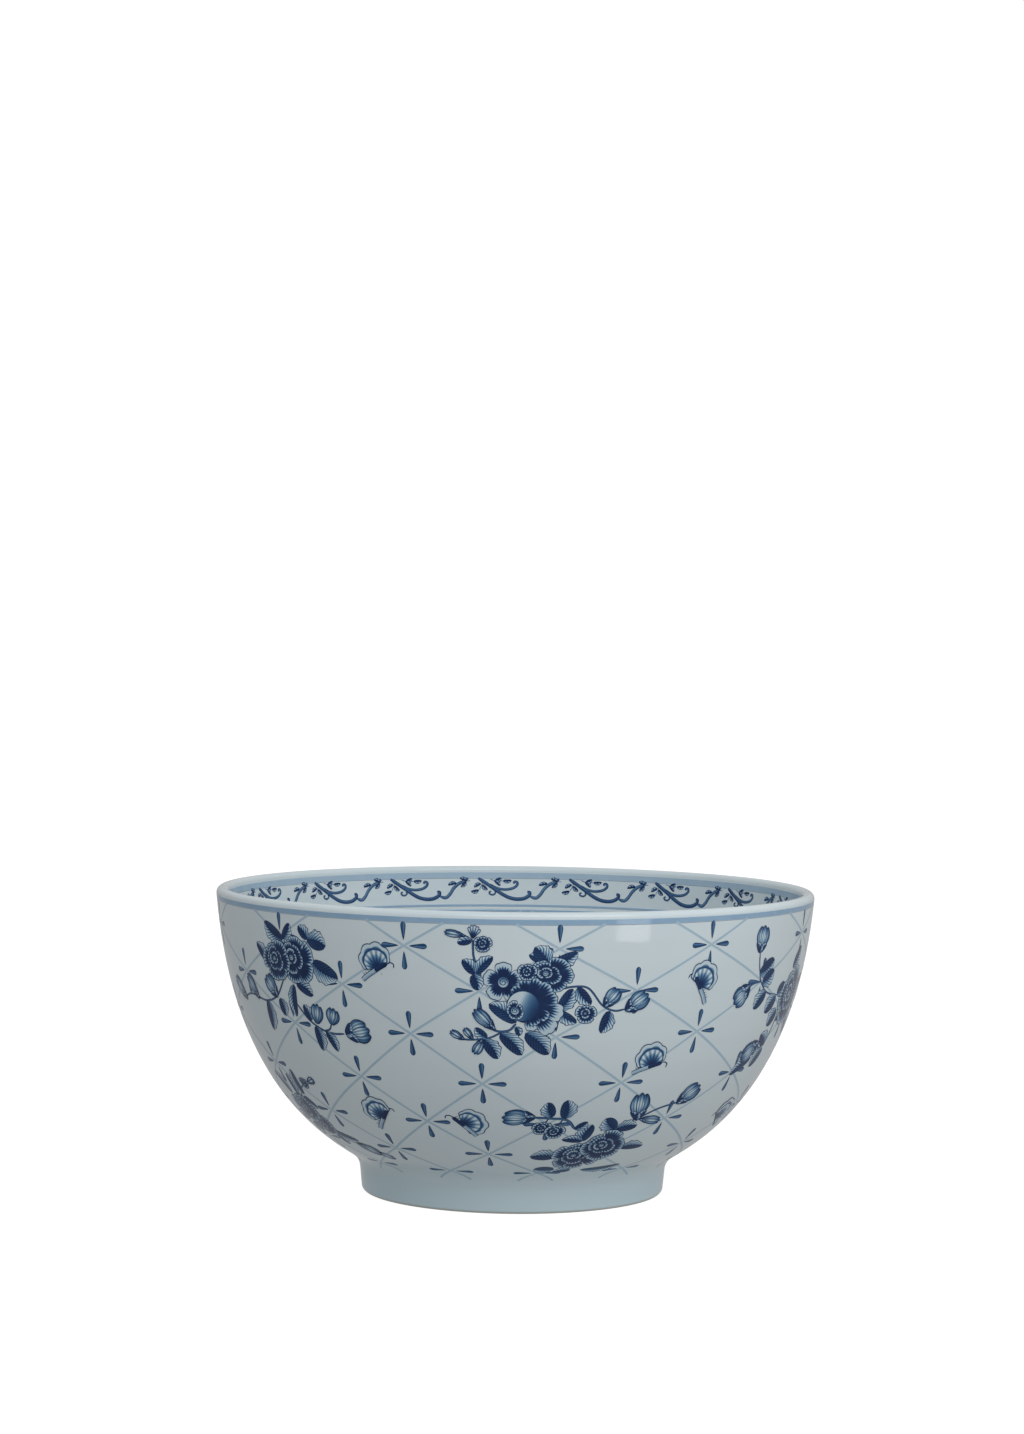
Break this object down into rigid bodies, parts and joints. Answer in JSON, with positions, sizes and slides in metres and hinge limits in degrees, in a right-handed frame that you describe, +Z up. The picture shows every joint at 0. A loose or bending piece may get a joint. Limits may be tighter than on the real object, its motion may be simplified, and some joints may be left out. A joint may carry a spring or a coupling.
{
  "type": "porcelain serving bowl",
  "caption": "Deep round porcelain serving bowl with a thick rounded lip, a steep curved wall and a low foot ring, glazed inside and out with cobalt bands.",
  "frame": {"origin": "centre of the foot ring on the surface the bowl stands on", "axes": "+Z up the bowl's axis, towards the lip; the bowl is round, so X and Y only fix where the print starts"},
  "size_m": [0.2999, 0.3, 0.152],
  "materials": {
    "biscuit": "unglazed fired porcelain, under the glaze",
    "bare_foot": "matt unglazed contact strip",
    "glaze_outside": "glossy pale blue-grey glaze over a cobalt print",
    "glaze_inside": "glossy pale blue-grey glaze over a cobalt print",
    "glaze_underside": "glossy pale blue-grey glaze",
    "cobalt_band": "mid blue band under gloss",
    "cobalt_line": "thin mid blue line under gloss"
  },
  "bodies": {
    "root": {"bowl_body": "biscuit", "foot_ring": "bare_foot", "outer_glaze": "glaze_outside", "inner_glaze": "glaze_inside", "well_glaze": "glaze_underside", "rim_band_outer": "cobalt_band", "rim_band_inner": "cobalt_band", "border_line_upper": "cobalt_line", "border_line_lower": "cobalt_line"}
  },
  "joints": []
}
